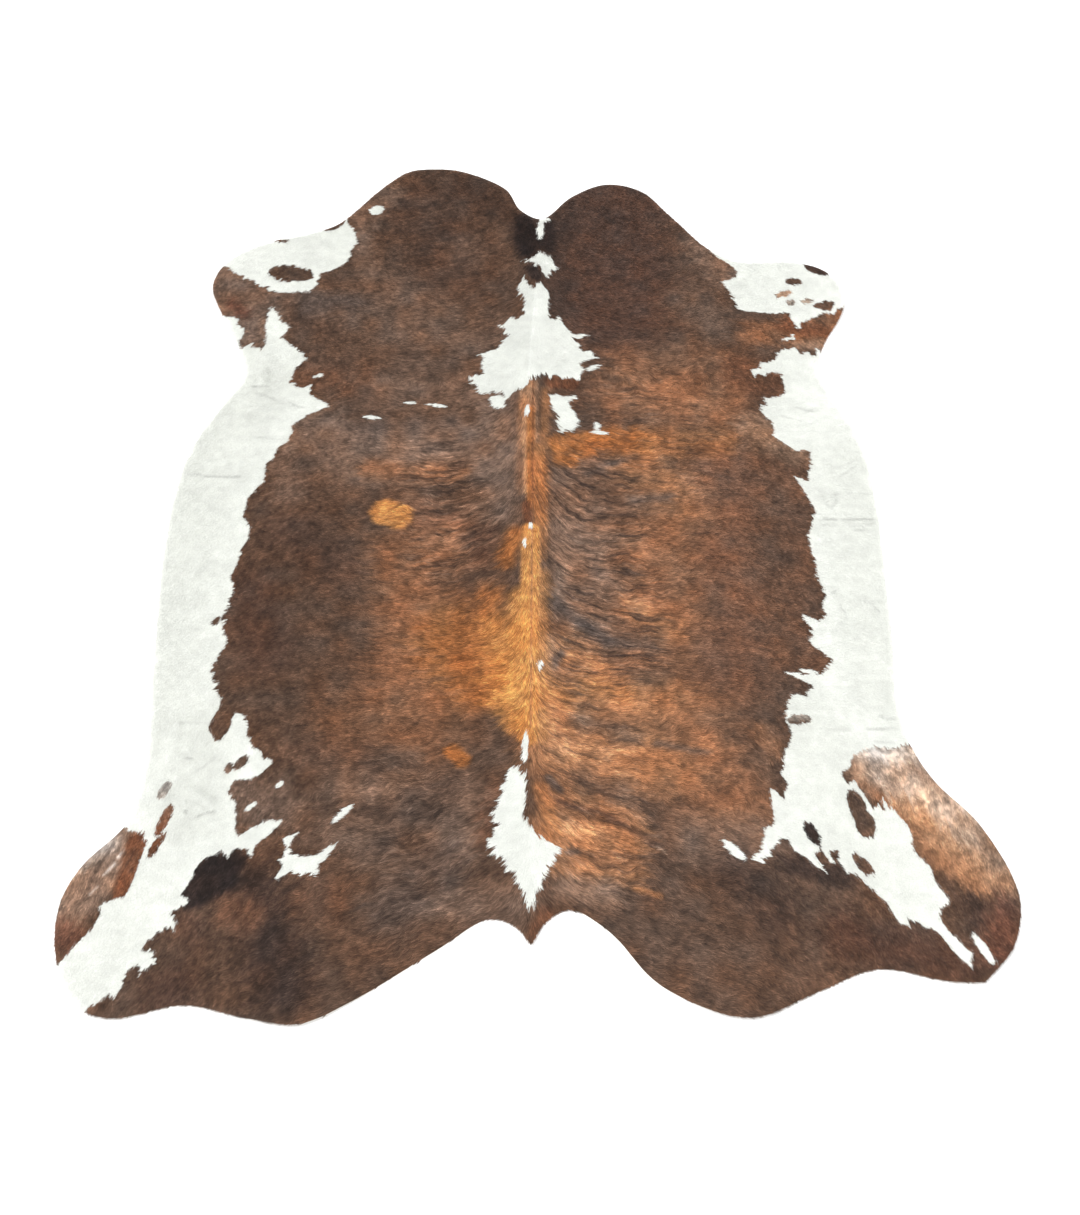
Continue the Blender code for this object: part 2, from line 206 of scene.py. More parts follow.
# ---- white, brown and tones ----
# White areas, each as the corners of its border: x, y, x, y and so on, in millimetres.
WHITE = (
    # left front leg
    (-620,1020, -545,974, -541,948, -514,916, -507,884, -529,852, -518,833, -535,806, -565,781,
     -604,765, -606,728, -626,700, -721,698, -755,722, -789,743, -833,759, -862,790, -960,830, -900,980),
    # left flank
    (-880,620, -850,614, -812,603, -784,557, -793,522, -786,498, -758,524, -733,492, -721,545, -732,603,
     -723,648, -666,568, -685,540, -641,500, -608,468, -635,438, -640,392, -611,371, -590,380, -582,346,
     -532,314, -593,282, -624,250, -626,205, -652,185, -658,155, -676,135, -672,95, -712,30, -718,-20,
     -692,-50, -723,-190, -708,-220, -726,-290, -708,-360, -735,-420, -717,-465, -701,-510, -718,-542,
     -722,-564, -694,-596, -678,-566, -664,-524, -651,-535, -637,-562, -625,-600, -606,-622, -570,-640,
     -597,-669, -625,-677, -650,-681, -660,-702, -646,-734, -635,-786, -628,-803, -601,-786, -569,-771,
     -537,-772, -558,-797, -590,-822, -595,-850, -604,-828, -635,-832, -644,-852, -655,-832, -677,-839,
     -699,-855, -709,-890, -723,-916, -712,-938, -722,-948, -742,-958, -728,-988, -756,-994, -780,-1011,
     -790,-1032, -766,-1034, -753,-1056, -775,-1064, -784,-1084, -791,-1062, -808,-1068, -815,-1098,
     -825,-1126, -842,-1119, -857,-1134, -885,-1148, -910,-1200, -1030,-1120, -945,-1063, -921,-1023,
     -893,-992, -883,-960, -890,-946, -857,-928, -841,-926, -831,-900, -823,-851, -815,-806, -833,-794,
     -853,-786, -880,-785, -920,-760, -950,-740, -1000,-500, -1000,300),
    # left rump
    (-536,-809, -508,-798, -517,-824, -508,-842, -454,-838, -418,-812, -426,-834, -452,-863, -458,-888,
     -473,-876, -491,-887, -506,-874, -538,-890, -524,-862, -539,-852, -521,-842, -524,-822),
    # nape
    (-50,815, -20,825, 0,850, 30,830, 43,790, 20,750, 8,775, 0,800),
    # withers
    (-48,752, -23,722, 1,733, 17,706, 29,674, 21,627, 24,601, 54,608, 64,581, 83,555, 116,550, 90,535,
     109,490, 136,492, 150,470, 97,455, 112,441, 104,407, 20,413, -22,407, -37,378, -56,373, -75,344,
     -93,332, -113,373, -128,347, -170,373, -186,409, -141,418, -155,482, -112,500, -85,540, -98,588,
     -72,614, -43,611, -39,664, -61,708),
    # withers, right
    (20,352, 50,344, 88,354, 72,325, 91,288, 86,260, 97,244, 39,228, 49,279, 27,320),
    # tail
    (-50,-644, -35,-656, -28,-683, -31,-750, -6,-798, 42,-828, 40,-842, 16,-872, 4,-905, -21,-956,
     -46,-892, -64,-868, -79,-838, -97,-842, -108,-824, -92,-790, -96,-750, -80,-690, -66,-665),
    # right front leg
    (452,890, 461,870, 492,825, 525,800, 539,779, 534,754, 494,735, 519,688, 532,636, 598,623, 668,627,
     674,594, 684,566, 702,594, 752,619, 786,625, 820,645, 900,650, 880,850, 600,900, 500,900),
    # right flank
    (742,482, 728,507, 713,472, 707,491, 683,485, 669,508, 639,500, 619,470, 581,449, 548,427, 552,408,
     592,424, 627,416, 630,383, 625,351, 591,343, 557,300, 586,262, 586,218, 640,174, 655,180, 672,172,
     672,145, 653,83, 622,99, 646,50, 664,-15, 645,-56, 640,-95, 650,-180, 656,-280, 638,-300, 603,-285,
     618,-323, 609,-353, 654,-396, 627,-436, 600,-434, 545,-430, 603,-462, 586,-485, 555,-480, 538,-538,
     545,-570, 520,-640, 515,-670, 528,-690, 512,-722, 487,-695, 492,-770, 465,-792, 455,-822, 432,-850,
     456,-858, 478,-826, 498,-806, 515,-809, 521,-828, 548,-847, 588,-882, 572,-853, 566,-836, 581,-828,
     595,-855, 601,-853, 598,-832, 615,-830, 615,-855, 626,-880, 648,-882, 673,-912, 696,-932, 722,-978,
     738,-988, 736,-966, 794,-999, 816,-1034, 845,-1066, 850,-1035, 821,-1003, 803,-976, 803,-955,
     826,-932, 804,-892, 800,-864, 779,-845, 766,-820, 775,-803, 764,-774, 735,-739, 722,-714, 724,-738,
     699,-741, 684,-706, 669,-683, 655,-694, 646,-672, 665,-645, 672,-625, 700,-612, 800,-600, 870,-580,
     900,0, 860,400, 800,470),
)

# Small spots: middle, length along `turn` (degrees from +X) and width.
WHITE_SPOTS = table(
    "mmmm-",  # x, y, length, width, turn
    # neck and withers
    (-465,1008,45,34,20), (2,940,85,20,85), (15,972,30,20,0), (-108,326,52,34,-32), (137,437,40,14,20),
    (139,250,30,16,95), (143,229,40,13,-4),
    # rump, hind legs and elbow
    (397,-833,52,18,-42), (386,-816,26,12,-30), (876,-1030,66,19,-62), (-609,-738,32,10,38),
    (-552,-689,22,10,50), (-415,-755,52,15,45), (-575,410,24,12,10),
    # on the shoulder fold
    (-330,322,36,9,0), (-265,312,56,10,-10), (-420,275,46,10,-12),
    # along the back
    (-33,297,34,12,85), (-22,-45,20,9,90), (-36,-92,22,8,90), (1,-415,28,9,80), (-31,-605,64,14,88),
    # right side
    (660,540,36,11,40), (600,-428,40,10,-15),
)
BROWN_SPOTS = table(
    "mmmm-",  # x, y, length, width, turn
    # left front leg
    (-682,768,128,60,-8), (-725,893,48,14,-5), (-580,955,70,40,40),
    # left hip and stifle
    (-738,-298,28,14,70), (-795,-703,45,22,60), (-786,-768,72,23,70), (-793,-820,58,18,62),
    (-640,-640,40,20,52), (-664,-650,26,16,70),
    # right front leg
    (690,738,44,26,0), (757,781,78,36,-35), (660,692,50,20,20), (765,648,58,30,6), (720,662,30,18,20),
    (676,661,28,18,10),
    # right hind leg
    (668,-742,78,39,-76), (678,-775,62,44,-80), (664,-862,56,26,-52), (569,-799,56,28,-58),
    (566,-544,50,24,12),
)

# Tones of the coat, as sRGB levels.
TONE = {
    "ink": (44, 35, 33), "seal": (68, 52, 45), "cocoa": (86, 61, 50), "dusk": (94, 80, 73),
    "umber": (100, 75, 60), "russet": (108, 71, 57), "rust": (122, 76, 52),
    "chestnut": (132, 92, 70), "hazel": (136, 104, 84), "fawn": (143, 114, 96),
    "copper": (164, 112, 79), "ginger": (184, 122, 76), "orange": (186, 113, 60),
    "toffee": (188, 129, 87), "honey": (208, 144, 88), "sand": (208, 150, 108),
    "amber": (230, 154, 86), "clay": (166, 134, 113), "tan": (204, 164, 134),
    "peach": (232, 198, 172), "blush": (240, 224, 210), "ash": (176, 164, 152),
    "milk": (226, 228, 221), "snow": (240, 242, 236),
}

# Soft strokes of one tone, painted in this order, from (x0, y0) to (x1, y1). Reach is where the
# stroke has half its strength and soft is how wide its border is.
STROKES = table(
    "mmmmmm-%",  # x0, y0, x1, y1, reach, soft, tone, strength
    # left neck, shoulder and front leg
    (-320,1020,-240,800,110,160,"cocoa",30), (-220,860,-180,820,40,80,"fawn",35),
    (-110,930,-90,780,20,60,"fawn",28), (-200,1100,-120,1020,45,110,"seal",50),
    (-530,940,-440,1080,45,60,"fawn",60), (-500,910,-480,780,30,50,"fawn",55),
    (-560,620,-120,500,80,180,"fawn",42), (-460,750,-280,650,40,100,"fawn",45),
    (-660,620,-560,560,30,60,"seal",30), (-705,620,-710,500,20,40,"ash",40),
    (-860,720,-780,580,90,80,"fawn",72), (-720,690,-600,690,20,40,"fawn",75),
    (-660,680,-520,650,40,80,"dusk",60), (-830,655,-790,620,16,30,"russet",80),
    # left ribs, flank and loin
    (-600,430,-440,380,40,100,"chestnut",60), (-400,370,-100,330,60,120,"fawn",50),
    (-560,235,-150,240,30,60,"dusk",66), (-480,150,-120,180,80,120,"fawn",78),
    (-110,280,-95,0,50,60,"fawn",65), (-420,115,-200,100,26,40,"copper",70),
    (-260,-30,-160,-100,60,80,"chestnut",60), (-220,-80,-190,-130,35,60,"copper",50),
    (-600,220,-540,260,60,80,"fawn",70), (-640,120,-610,20,40,60,"fawn",60),
    (-680,-220,-620,-380,60,100,"cocoa",60), (-600,-60,-470,-160,60,120,"cocoa",40),
    (-310,-140,-280,-480,80,130,"copper",75), (-135,-65,-140,-120,26,40,"seal",50),
    (-190,-350,-120,-450,90,120,"orange",74), (-115,-235,-100,-320,30,60,"orange",70),
    (-85,-340,-75,-500,45,80,"amber",75), (-58,-70,-80,-140,22,34,"orange",85),
    # left hip and thigh
    (-440,-530,-200,-590,60,120,"copper",42), (-520,-610,-380,-630,30,80,"chestnut",45),
    (-126,-560,-114,-660,32,50,"umber",85), (-185,-618,-165,-636,18,16,"orange",90),
    (-320,-700,-160,-760,70,120,"dusk",28), (-140,-700,-165,-820,30,60,"fawn",45),
    (-420,-690,-290,-710,40,80,"fawn",50), (-100,-700,-115,-800,16,40,"chestnut",55),
    (-160,-830,-200,-800,30,50,"fawn",60), (-680,-680,-540,-750,50,70,"fawn",60),
    (-420,-800,-340,-830,40,80,"fawn",60), (-290,-950,-200,-870,50,70,"dusk",60),
    (-200,-940,-60,-930,40,60,"fawn",50),
    # left rump
    (-470,-920,-430,-940,40,60,"chestnut",45), (-580,-920,-500,-1100,60,80,"seal",90),
    (-700,-1100,-740,-1110,40,70,"cocoa",70), (-700,-905,-655,-885,42,22,"ink",92),
    (-668,-858,-625,-850,24,22,"ink",85), (-625,-960,-590,-965,36,50,"chestnut",72),
    (-715,-975,-690,-1010,26,40,"cocoa",45),
    # spot on the left ribs
    (-372,-8,-340,-18,36,18,"amber",90),
    # right neck, elbow and toe
    (200,1040,200,640,160,160,"cocoa",85), (50,950,40,640,30,80,"seal",60),
    (440,860,520,740,40,70,"fawn",70), (380,660,460,600,50,80,"fawn",38),
    (470,885,540,800,10,20,"tan",70), (220,450,480,450,60,120,"copper",46),
    (560,550,780,565,40,60,"copper",75), (680,515,750,515,16,26,"tan",50),
    (660,580,760,560,24,40,"rust",88), (790,620,800,570,20,30,"copper",90),
    # right shoulder and ribs
    (230,350,450,310,80,120,"copper",78), (520,420,600,380,50,60,"rust",50),
    (250,120,370,5,70,120,"toffee",68), (60,80,120,-280,70,90,"hazel",75),
    (120,112,230,165,14,30,"dusk",70), (220,28,315,36,14,30,"dusk",75),
    (130,-175,190,-195,14,30,"dusk",35), (460,120,440,-400,80,120,"chestnut",75),
    (170,205,250,200,36,60,"orange",88), (280,200,450,200,40,60,"ginger",60),
    (610,100,600,-400,40,60,"chestnut",35), (540,240,630,190,50,60,"tan",50),
    (45,200,150,206,26,24,"orange",80), (52,168,112,172,24,26,"orange",75),
    (50,142,75,142,18,22,"orange",80), (105,216,155,224,8,22,"amber",35),
    (30,395,80,385,20,16,"rust",90), (265,-90,290,-280,85,120,"copper",72),
    (210,-270,300,-330,26,50,"toffee",65),
    # right loin and hip, with their dark streaks
    (50,-370,120,-440,40,70,"toffee",80), (46,-170,36,-285,12,30,"clay",60),
    (30,-250,150,-350,15,28,"dusk",80), (150,-348,250,-366,13,28,"dusk",38),
    (18,-345,26,-420,12,30,"clay",65), (50,-490,300,-500,50,70,"toffee",78),
    (90,-465,190,-480,22,40,"honey",40), (200,-402,330,-405,24,44,"copper",55),
    (20,-455,55,-495,18,40,"honey",55), (30,-610,300,-640,70,100,"toffee",80),
    (20,-595,190,-618,12,28,"sand",50), (30,-790,175,-810,50,60,"toffee",80),
    (50,-715,150,-745,24,40,"toffee",58), (40,-778,120,-790,16,24,"sand",70),
    (350,-560,400,-720,80,110,"copper",62), (480,-570,500,-610,24,40,"copper",70),
    (80,-540,200,-588,14,34,"dusk",42), (90,-668,170,-710,22,44,"dusk",32),
    (10,-530,40,-600,24,36,"sand",80), (36,-726,145,-760,6,14,"cocoa",65),
    (145,-762,240,-822,8,18,"cocoa",60), (46,-384,33,-408,10,14,"dusk",80),
    (18,-676,42,-702,8,12,"dusk",85), (55,-834,78,-836,6,12,"dusk",75),
    (250,-600,360,-618,8,18,"dusk",60),
    # right thigh and rump
    (300,-800,440,-820,45,70,"fawn",60), (400,-880,470,-955,50,80,"seal",62),
    (30,-865,200,-885,18,40,"toffee",66), (50,-908,140,-925,26,40,"clay",62),
    (190,-908,245,-926,5,14,"ginger",60), (240,-825,256,-836,3,6,"peach",60),
    (600,-1000,840,-1060,40,70,"cocoa",85), (510,-860,620,-890,20,30,"seal",80),
    (560,-788,576,-812,18,12,"ink",85),
    # right hock
    (715,-655,880,-770,50,50,"peach",78), (690,-615,840,-632,18,40,"blush",92),
    (760,-760,890,-880,40,50,"sand",78), (900,-790,950,-890,40,50,"tan",60),
    (830,-650,930,-770,12,30,"blush",65), (790,-690,850,-750,20,40,"blush",40),
    (690,-690,800,-830,10,30,"copper",65), (840,-860,880,-900,20,40,"copper",45),
    (866,-940,880,-975,22,40,"seal",75), (930,-960,900,-1040,30,50,"russet",80),
    # left hock
    (-960,-950,-880,-820,60,40,"clay",80), (-960,-860,-890,-810,24,30,"blush",60),
    (-868,-846,-856,-830,3,6,"blush",80), (-890,-880,-874,-861,3,6,"blush",85),
    (-912,-922,-899,-905,2,6,"blush",60), (-835,-815,-845,-915,22,16,"rust",92),
    (-960,-1000,-925,-1010,30,40,"russet",70),
    # brown spots
    (-800,-700,-790,-705,30,20,"ash",95), (-780,-750,-788,-775,22,20,"chestnut",80),
    (-790,-790,-800,-830,14,16,"rust",80), (555,-536,590,-526,16,20,"ash",85),
    (645,690,680,695,16,20,"tan",85), (732,798,785,762,20,20,"seal",75),
    (676,661,722,661,12,10,"ash",85),
    # stripe along the back
    (-30,380,-30,200,22,20,"sand",85), (-52,280,-48,50,8,24,"copper",50),
    (12,360,6,-130,12,22,"ginger",62), (-36,270,-34,50,7,10,"sand",85),
    (-24,300,-22,10,10,12,"orange",80), (-8,180,1,-30,16,16,"ginger",90),
    (-22,-60,-26,-580,22,14,"amber",95), (-45,-240,-50,-550,28,30,"amber",85),
    # The thin rust and copper lines at x -18 to -20 mm are painted shade in the parting along the back
    # ridge.
    (4,-180,4,-580,16,30,"honey",70), (-18,400,-18,30,3,5,"rust",50), (-19,20,-20,-560,2,4,"copper",60),
    (-34,15,-28,-30,10,12,"rust",85),
    # nape and tail
    (-45,960,-35,860,34,40,"ink",95), (22,950,25,860,18,30,"ink",80), (-10,912,4,882,16,16,"ink",95),
    (-20,785,-10,760,18,20,"ink",80), (10,-960,-10,-1000,16,20,"rust",60),
    (0,-700,30,-790,16,20,"ginger",70),
)

# Where the white hair is greyer.
BELLIES = table(
    "mmmmmm%",  # as above, without the tone
    # left side
    (-850,420,-860,-560,130,200,72), (-750,-560,-740,-760,70,100,85), (-700,400,-760,250,60,120,80),
    (-780,-880,-880,-1080,70,120,40),
    # right side
    (780,100,780,-480,110,180,72), (600,-560,700,-920,90,120,55),
    # withers and tail
    (-20,750,-30,400,120,150,12), (-50,-660,-30,-920,60,100,5),
)

# Where the coat is brindled, and how strongly.
BRINDLES = table(
    "mmmmmm%",  # as above, without the tone
    # right side
    (120,50,160,-350,130,120,95), (80,-450,140,-840,120,120,62), (250,350,350,150,130,120,50),
    # left side
    (-250,100,-220,-100,110,120,85), (-280,-200,-240,-520,100,120,20), (-300,-700,-250,-900,130,120,45),
    (-350,1000,-250,850,110,120,35),
    # hocks
    (760,-700,900,-850,80,50,10), (-950,-900,-880,-860,60,50,50),
)

# ---- the lie of the hair ----
# The backbone, from the tail to the neck: y and x.
BACKBONE = ((-1.10, -0.017), (-0.60, -0.018), (0.42, -0.028), (0.75, -0.008), (1.20, 0.004))
# How far the hair runs tailwards on its way out from the backbone, and within how far out.
RIDGE_SAG = (0.05, 0.010)  # on the ridge of the back
NEAR_SAG = (0.10, 0.040)  # beside it
FAR_SAG = (0.09, 0.16)  # over the ribs
REAR_SAG = 0.32  # share of the last two over the loin and rump
RUMP_LEAN = 0.34  # extra fall towards the hind legs
NECK_LEAN = 0.20
FLANK_FALL = 1.5  # extra fall over the flanks and legs, growing outwards
FLANK_START = 0.40
# Where each starts along the hide, and where it is whole.
RUMP_Y = (-0.35, -1.05)
NECK_Y = (0.30, 1.00)
REAR_Y = (-0.30, -0.55)
RIDGE_Y = (0.45, 0.35)
SHORT_Y = (0.60, 0.90)  # the hair is short on the neck
SHORT_X = (0.30, 0.58)  # and on the flanks and legs
SIDES_APART = 3.0  # keeps the strands of both sides apart
# Layers of noise: height, the cell's two sides and a seed.
LIE_WAVES = ((0.012, 0.11, 0.11, 5), (0.005, 0.025, 0.025, 6))
COARSE_STRANDS = 0.70
FINE_STRANDS = (0.45, 2.1, 1.9)  # height, how much narrower and how much shorter


def whole_noise(i, j, seed):
    """One number from -1 to 1 for each whole place (i, j), the same in each run."""
    mixed = (i * 0x1F1F1F1F ^ j * 0x5F356495 ^ seed * 0x2545F491) & 0xFFFFFFFF
    mixed = ((mixed ^ mixed >> 15) * 0x2C1B3C6D) & 0xFFFFFFFF
    mixed = ((mixed ^ mixed >> 12) * 0x297A2D39) & 0xFFFFFFFF
    return ((mixed ^ mixed >> 15) & 0xFFFF) / 32767.5 - 1.0


def fade(t):
    """Smooth step from 0 at t = 0 to 1 at t = 1."""
    t = np.clip(t, 0.0, 1.0)
    return t * t * (3.0 - 2.0 * t)


def between(v, start, whole):
    """Smooth step from 0 at start to 1 at whole."""
    return fade((v - start) / (whole - start))


def mixed_corners(value, i, j, p, q):
    """Mean of the values at four corners, weighed by p along i and by q along j."""
    low = value(i, j) * (1.0 - p) + value(i + 1, j) * p
    high = value(i, j + 1) * (1.0 - p) + value(i + 1, j + 1) * p
    return low * (1.0 - q) + high * q


def noise(a, b, seed):
    """Smooth noise from -1 to 1 over the plane of a and b, with a cell of 1."""
    i, j = np.floor(a).astype(np.int64), np.floor(b).astype(np.int64)
    return mixed_corners(lambda i, j: whole_noise(i, j, seed), i, j, fade(a - i), fade(b - j))


def layered(a, b, layers):
    """Sum of smooth noises, one for each layer."""
    return sum(height * noise(a / wide, b / long, seed) for height, wide, long, seed in layers)


def sag(far, drop, reach):
    """How far tailwards the hair has run, this far out."""
    return drop * (1.0 - np.exp(-far / reach))


def lie(x, y):
    """(out, across): how far out from the backbone, and which strand of hair, each in metres."""
    out = x - np.interp(y, *zip(*BACKBONE))
    far = np.abs(out)
    lean = RUMP_LEAN * between(y, *RUMP_Y) + NECK_LEAN * between(y, *NECK_Y)
    across = y + lean * far + FLANK_FALL * np.maximum(far - FLANK_START, 0.0) ** 2
    rear = 1.0 + (REAR_SAG - 1.0) * between(y, *REAR_Y)
    across = across + (sag(far, *NEAR_SAG) + sag(far, *FAR_SAG)) * rear
    across = across + sag(far, *RIDGE_SAG) * between(y, *RIDGE_Y) + layered(x, y, LIE_WAVES)
    return out, across + np.sign(out) * SIDES_APART


def shortness(x, y):
    """0 over the back, where the hair is long, to 1 on the neck, flanks and legs."""
    return np.maximum(between(y, *SHORT_Y), between(np.abs(x), *SHORT_X))


def lie_direction(x, y):
    """Unit direction of the hair, from root to tip, in plan."""
    step = 0.002
    _, here = lie(x, y)
    out, beside = lie(x + step, y)
    _, above = lie(x, y + step)
    dx, dy = above - here, here - beside
    turn = np.where(out > 0.0, 1.0, -1.0) / np.hypot(dx, dy)
    return dx * turn, dy * turn


def strands(out, across, wide, long, seed):
    """Streaky noise that runs with the hair: cells of this width and length."""
    fine, narrower, shorter = FINE_STRANDS
    streaks = COARSE_STRANDS * noise(across / wide, out / long, seed)
    return streaks + fine * noise(across / wide * narrower, out / long * shorter, seed + 50)


# ---- the cut edge ----
def solid_edge():
    """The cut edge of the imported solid, counterclockwise: the border of its downward faces."""
    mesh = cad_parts["hide"].data
    places = {}
    uses = {}
    for face in mesh.polygons:
        if face.normal.z > DOWNWARD:
            continue
        ring = []
        for index in face.vertices:
            x, y, _ = mesh.vertices[index].co
            ring.append((round(x, 5), round(y, 5)))
            places[ring[-1]] = (x, y)
        for start, end in zip(ring, ring[1:] + ring[:1]):
            pair = frozenset((start, end))
            uses[pair] = None if pair in uses else (end, start)
    following = dict(pair for pair in uses.values() if pair)
    key = next(iter(following))
    run = []
    for _ in following:
        run.append(places[key])
        key = following[key]
    return run


def knot_gap(a, b):
    """Parameter step between two points, which keeps the curve free of loops."""
    return max(np.hypot(*(b - a)), 1e-6) ** 0.5


def curve_point(before, start, end, after, t):
    """Point at t (0 to 1) on the smooth curve from start to end, led by its neighbours."""
    g0, g1, g2 = knot_gap(before, start), knot_gap(start, end), knot_gap(end, after)
    slope_start = (start - before) / g0 - (end - before) / (g0 + g1) + (end - start) / g1
    slope_end = (end - start) / g1 - (after - start) / (g1 + g2) + (after - end) / g2
    tt, ttt = t * t, t * t * t
    ends = start * (2 * ttt - 3 * tt + 1) + end * (3 * tt - 2 * ttt)
    return ends + slope_start * (g1 * (ttt - 2 * tt + t)) + slope_end * (g1 * (ttt - tt))


def is_corner(before, here, after):
    """True where the edge turns sharply."""
    a, b = here - before, after - here
    return abs(math.atan2(a[0] * b[1] - a[1] * b[0], a @ b)) > CORNER


def fine_edge():
    """The cut edge as a smooth closed run of points, about EDGE_STEP apart."""
    marks = [np.array(point) for point in solid_edge()]
    count = len(marks)
    sharp = [is_corner(marks[i - 1], marks[i], marks[(i + 1) % count]) for i in range(count)]
    run = []
    for i in range(count):
        start, end = marks[i], marks[(i + 1) % count]
        before = start * 2 - end if sharp[i] else marks[i - 1]
        after = end * 2 - start if sharp[(i + 1) % count] else marks[(i + 2) % count]
        steps = max(1, round(np.hypot(*(end - start)) / EDGE_STEP))
        run += [curve_point(before, start, end, after, k / steps) for k in range(steps)]
    return np.array(run)


def inside(x, y, corners):
    """True for the points inside the closed line through the corners."""
    odd = np.zeros(len(x), bool)
    ax, ay = corners[-1]
    for bx, by in corners:
        if ay != by:
            odd ^= ((ay > y) != (by > y)) & (x < (bx - ax) * (y - ay) / (by - ay) + ax)
        ax, ay = bx, by
    return odd


def distance_map(edge):
    """Distances to the cut edge on a grid over the hide, more than 0 inside: (low corner, map)."""
    low = edge.min(0) - FIELD_MARGIN
    size = np.ceil((edge.max(0) + FIELD_MARGIN - low) / FIELD_STEP).astype(int) + 1
    run = np.roll(edge, -1, 0) - edge
    length = (run * run).sum(1)
    xs = low[0] + np.arange(size[0]) * FIELD_STEP
    rows = []
    for y in low[1] + np.arange(size[1]) * FIELD_STEP:
        off_x = xs[:, None] - edge[:, 0]
        off_y = y - edge[:, 1]
        share = np.clip((off_x * run[:, 0] + off_y * run[:, 1]) / length, 0.0, 1.0)
        apart = np.hypot(off_x - share * run[:, 0], off_y - share * run[:, 1]).min(1)
        rows.append(np.where(inside(xs, np.full(len(xs), y), edge), apart, -apart))
    return low, np.array(rows)


EDGE = fine_edge()
MAP_LOW, MAP = distance_map(EDGE)


def depth(x, y):
    """How far inside the cut edge each place lies. Outside it is less than 0."""
    a = np.clip((x - MAP_LOW[0]) / FIELD_STEP, 0.0, MAP.shape[1] - 1.001)
    b = np.clip((y - MAP_LOW[1]) / FIELD_STEP, 0.0, MAP.shape[0] - 1.001)
    i, j = a.astype(int), b.astype(int)
    return mixed_corners(lambda i, j: MAP[j, i], i, j, a - i, b - j)


# ---- height of the sheet ----
CREASE_NEAR = (0.16, 0.08)  # a crease is worked out this near to its middle
CREASE_WAVES = (((0.003, 0.020, 0.020, 81),), ((0.003, 0.020, 0.020, 82),))


def ridge(across):
    """Round ridge of height 1, which ends level at 1 half width."""
    return 0.5 + 0.5 * np.cos(math.pi * np.clip(across, -1.0, 1.0))


def fold_place(x, y, fold):
    """Place on a fold: across in half widths, and how far the fold has faded in."""
    x0, y0, x1, y1, half_width, _ = fold
    length = math.hypot(x1 - x0, y1 - y0)
    along_x, along_y = (x1 - x0) / length, (y1 - y0) / length
    run = (x - x0) * along_x + (y - y0) * along_y
    strength = fade(run / FOLD_END) * fade((length - run) / FOLD_END)
    return ((y - y0) * along_x - (x - x0) * along_y) / half_width, strength


def oval_place(x, y, oval):
    """Place in an oval, along and aside, each from -1 to 1 inside it."""
    mid_x, mid_y, length, width, turn = oval[:5]
    c, s = math.cos(math.radians(turn)), math.sin(math.radians(turn))
    along = ((x - mid_x) * c + (y - mid_y) * s) / (length / 2)
    return along, ((y - mid_y) * c - (x - mid_x) * s) / (width / 2)


def underside(x, y):
    """Height of the skin's underside: 0 where it lies on the floor."""
    height = np.zeros(len(x))
    for fold in FOLDS:
        across, strength = fold_place(x, y, fold)
        height = np.maximum(height, fold[5] * strength * ridge(across))
    for pucker in PUCKERS:
        along, aside = oval_place(x, y, pucker)
        height += pucker[5] * ridge(along) * ridge(aside)
    for mid_x, mid_y, radius, rise in LIFTS:
        height += rise * fade(1.0 - np.hypot(x - mid_x, y - mid_y) / radius)
    return height


def crease(x, y):
    """Strength of the creases at each place: 0 away from them."""
    strength = np.zeros(len(x))
    wave_x, wave_y = x + layered(x, y, CREASE_WAVES[0]), y + layered(x, y, CREASE_WAVES[1])
    for x0, y0, x1, y1, half_width, share in CREASES:
        near = np.abs(x - (x0 + x1) / 2) < CREASE_NEAR[0]
        near &= np.abs(y - (y0 + y1) / 2) < CREASE_NEAR[1]
        run_x, run_y = x1 - x0, y1 - y0
        length = math.hypot(run_x, run_y)
        off_x, off_y = wave_x[near] - x0, wave_y[near] - y0
        along = (off_x * run_x + off_y * run_y) / length
        aside = np.abs(off_x * run_y - off_y * run_x) / length
        ends = fade(along / CREASE_END) * fade((length - along) / CREASE_END)
        here = share * ends * fade(1.0 - aside / half_width)
        strength[near] = np.maximum(strength[near], here)
    return strength


def coat_depth(x, y):
    """Thickness of the lying coat, which thins out at the cut edge."""
    across, strength = fold_place(x, y, FOLDS[0])
    part = BACK_PART * strength * ridge(across * PART_NARROWER)
    lying = COAT_BACK + (COAT_BELLY - COAT_BACK) * between(np.abs(x), *BELLY)
    return (lying - part) * fade(depth(x, y) / EDGE_ROUND)


def undercoat_top(x, y):
    """Height of the closed layer that the loose hair lies on."""
    return underside(x, y) + SKIN + UNDERCOAT * coat_depth(x, y) - CREASE_DEPTH * crease(x, y)


# ---- white and brown ----
# Tufts along a border, in metres. Layers of noise as above, across and along the hair.
SPIKE_LEVEL = 0.45  # spikes stand out where their noise is less than this
SPIKES = ((1.0, 0.0062, 0.035, 11),)
SPIKE_LENGTH = 0.018
SPIKE_LENGTHS = ((0.012, 0.030, 0.050, 15),)
# Wider bays between them, and how far they sway to the side.
BAYS = ((0.007, 0.013, 0.060, 12), (0.006, 0.028, 0.080, 14))
SIDEWAYS = ((0.003, 0.015, 0.015, 13),)
SPOT_TUFTS = 0.55  # small spots are less ragged than large borders
FLANK_TUFTS = 0.65  # and so are the flanks' borders
FLANK_X = (0.30, 0.50)
BELLY_CLOUDS = ((0.018, 0.050, 0.040, 71), (0.024, 0.016, 0.012, 72))
# Strokes: how far their borders are drawn out with the hair.
RAGGED = 0.026
RAGGED_SOFT = 0.06  # strokes softer than this are the most ragged
RAGGED_X = 0.10  # the backbone's strokes keep clean borders
RAGGED_LEAST = 0.15
RAGGED_ASIDE = ((0.3, 0.03, 0.03, 22),)
RAGGED_STRANDS = (0.010, 0.050, 21)
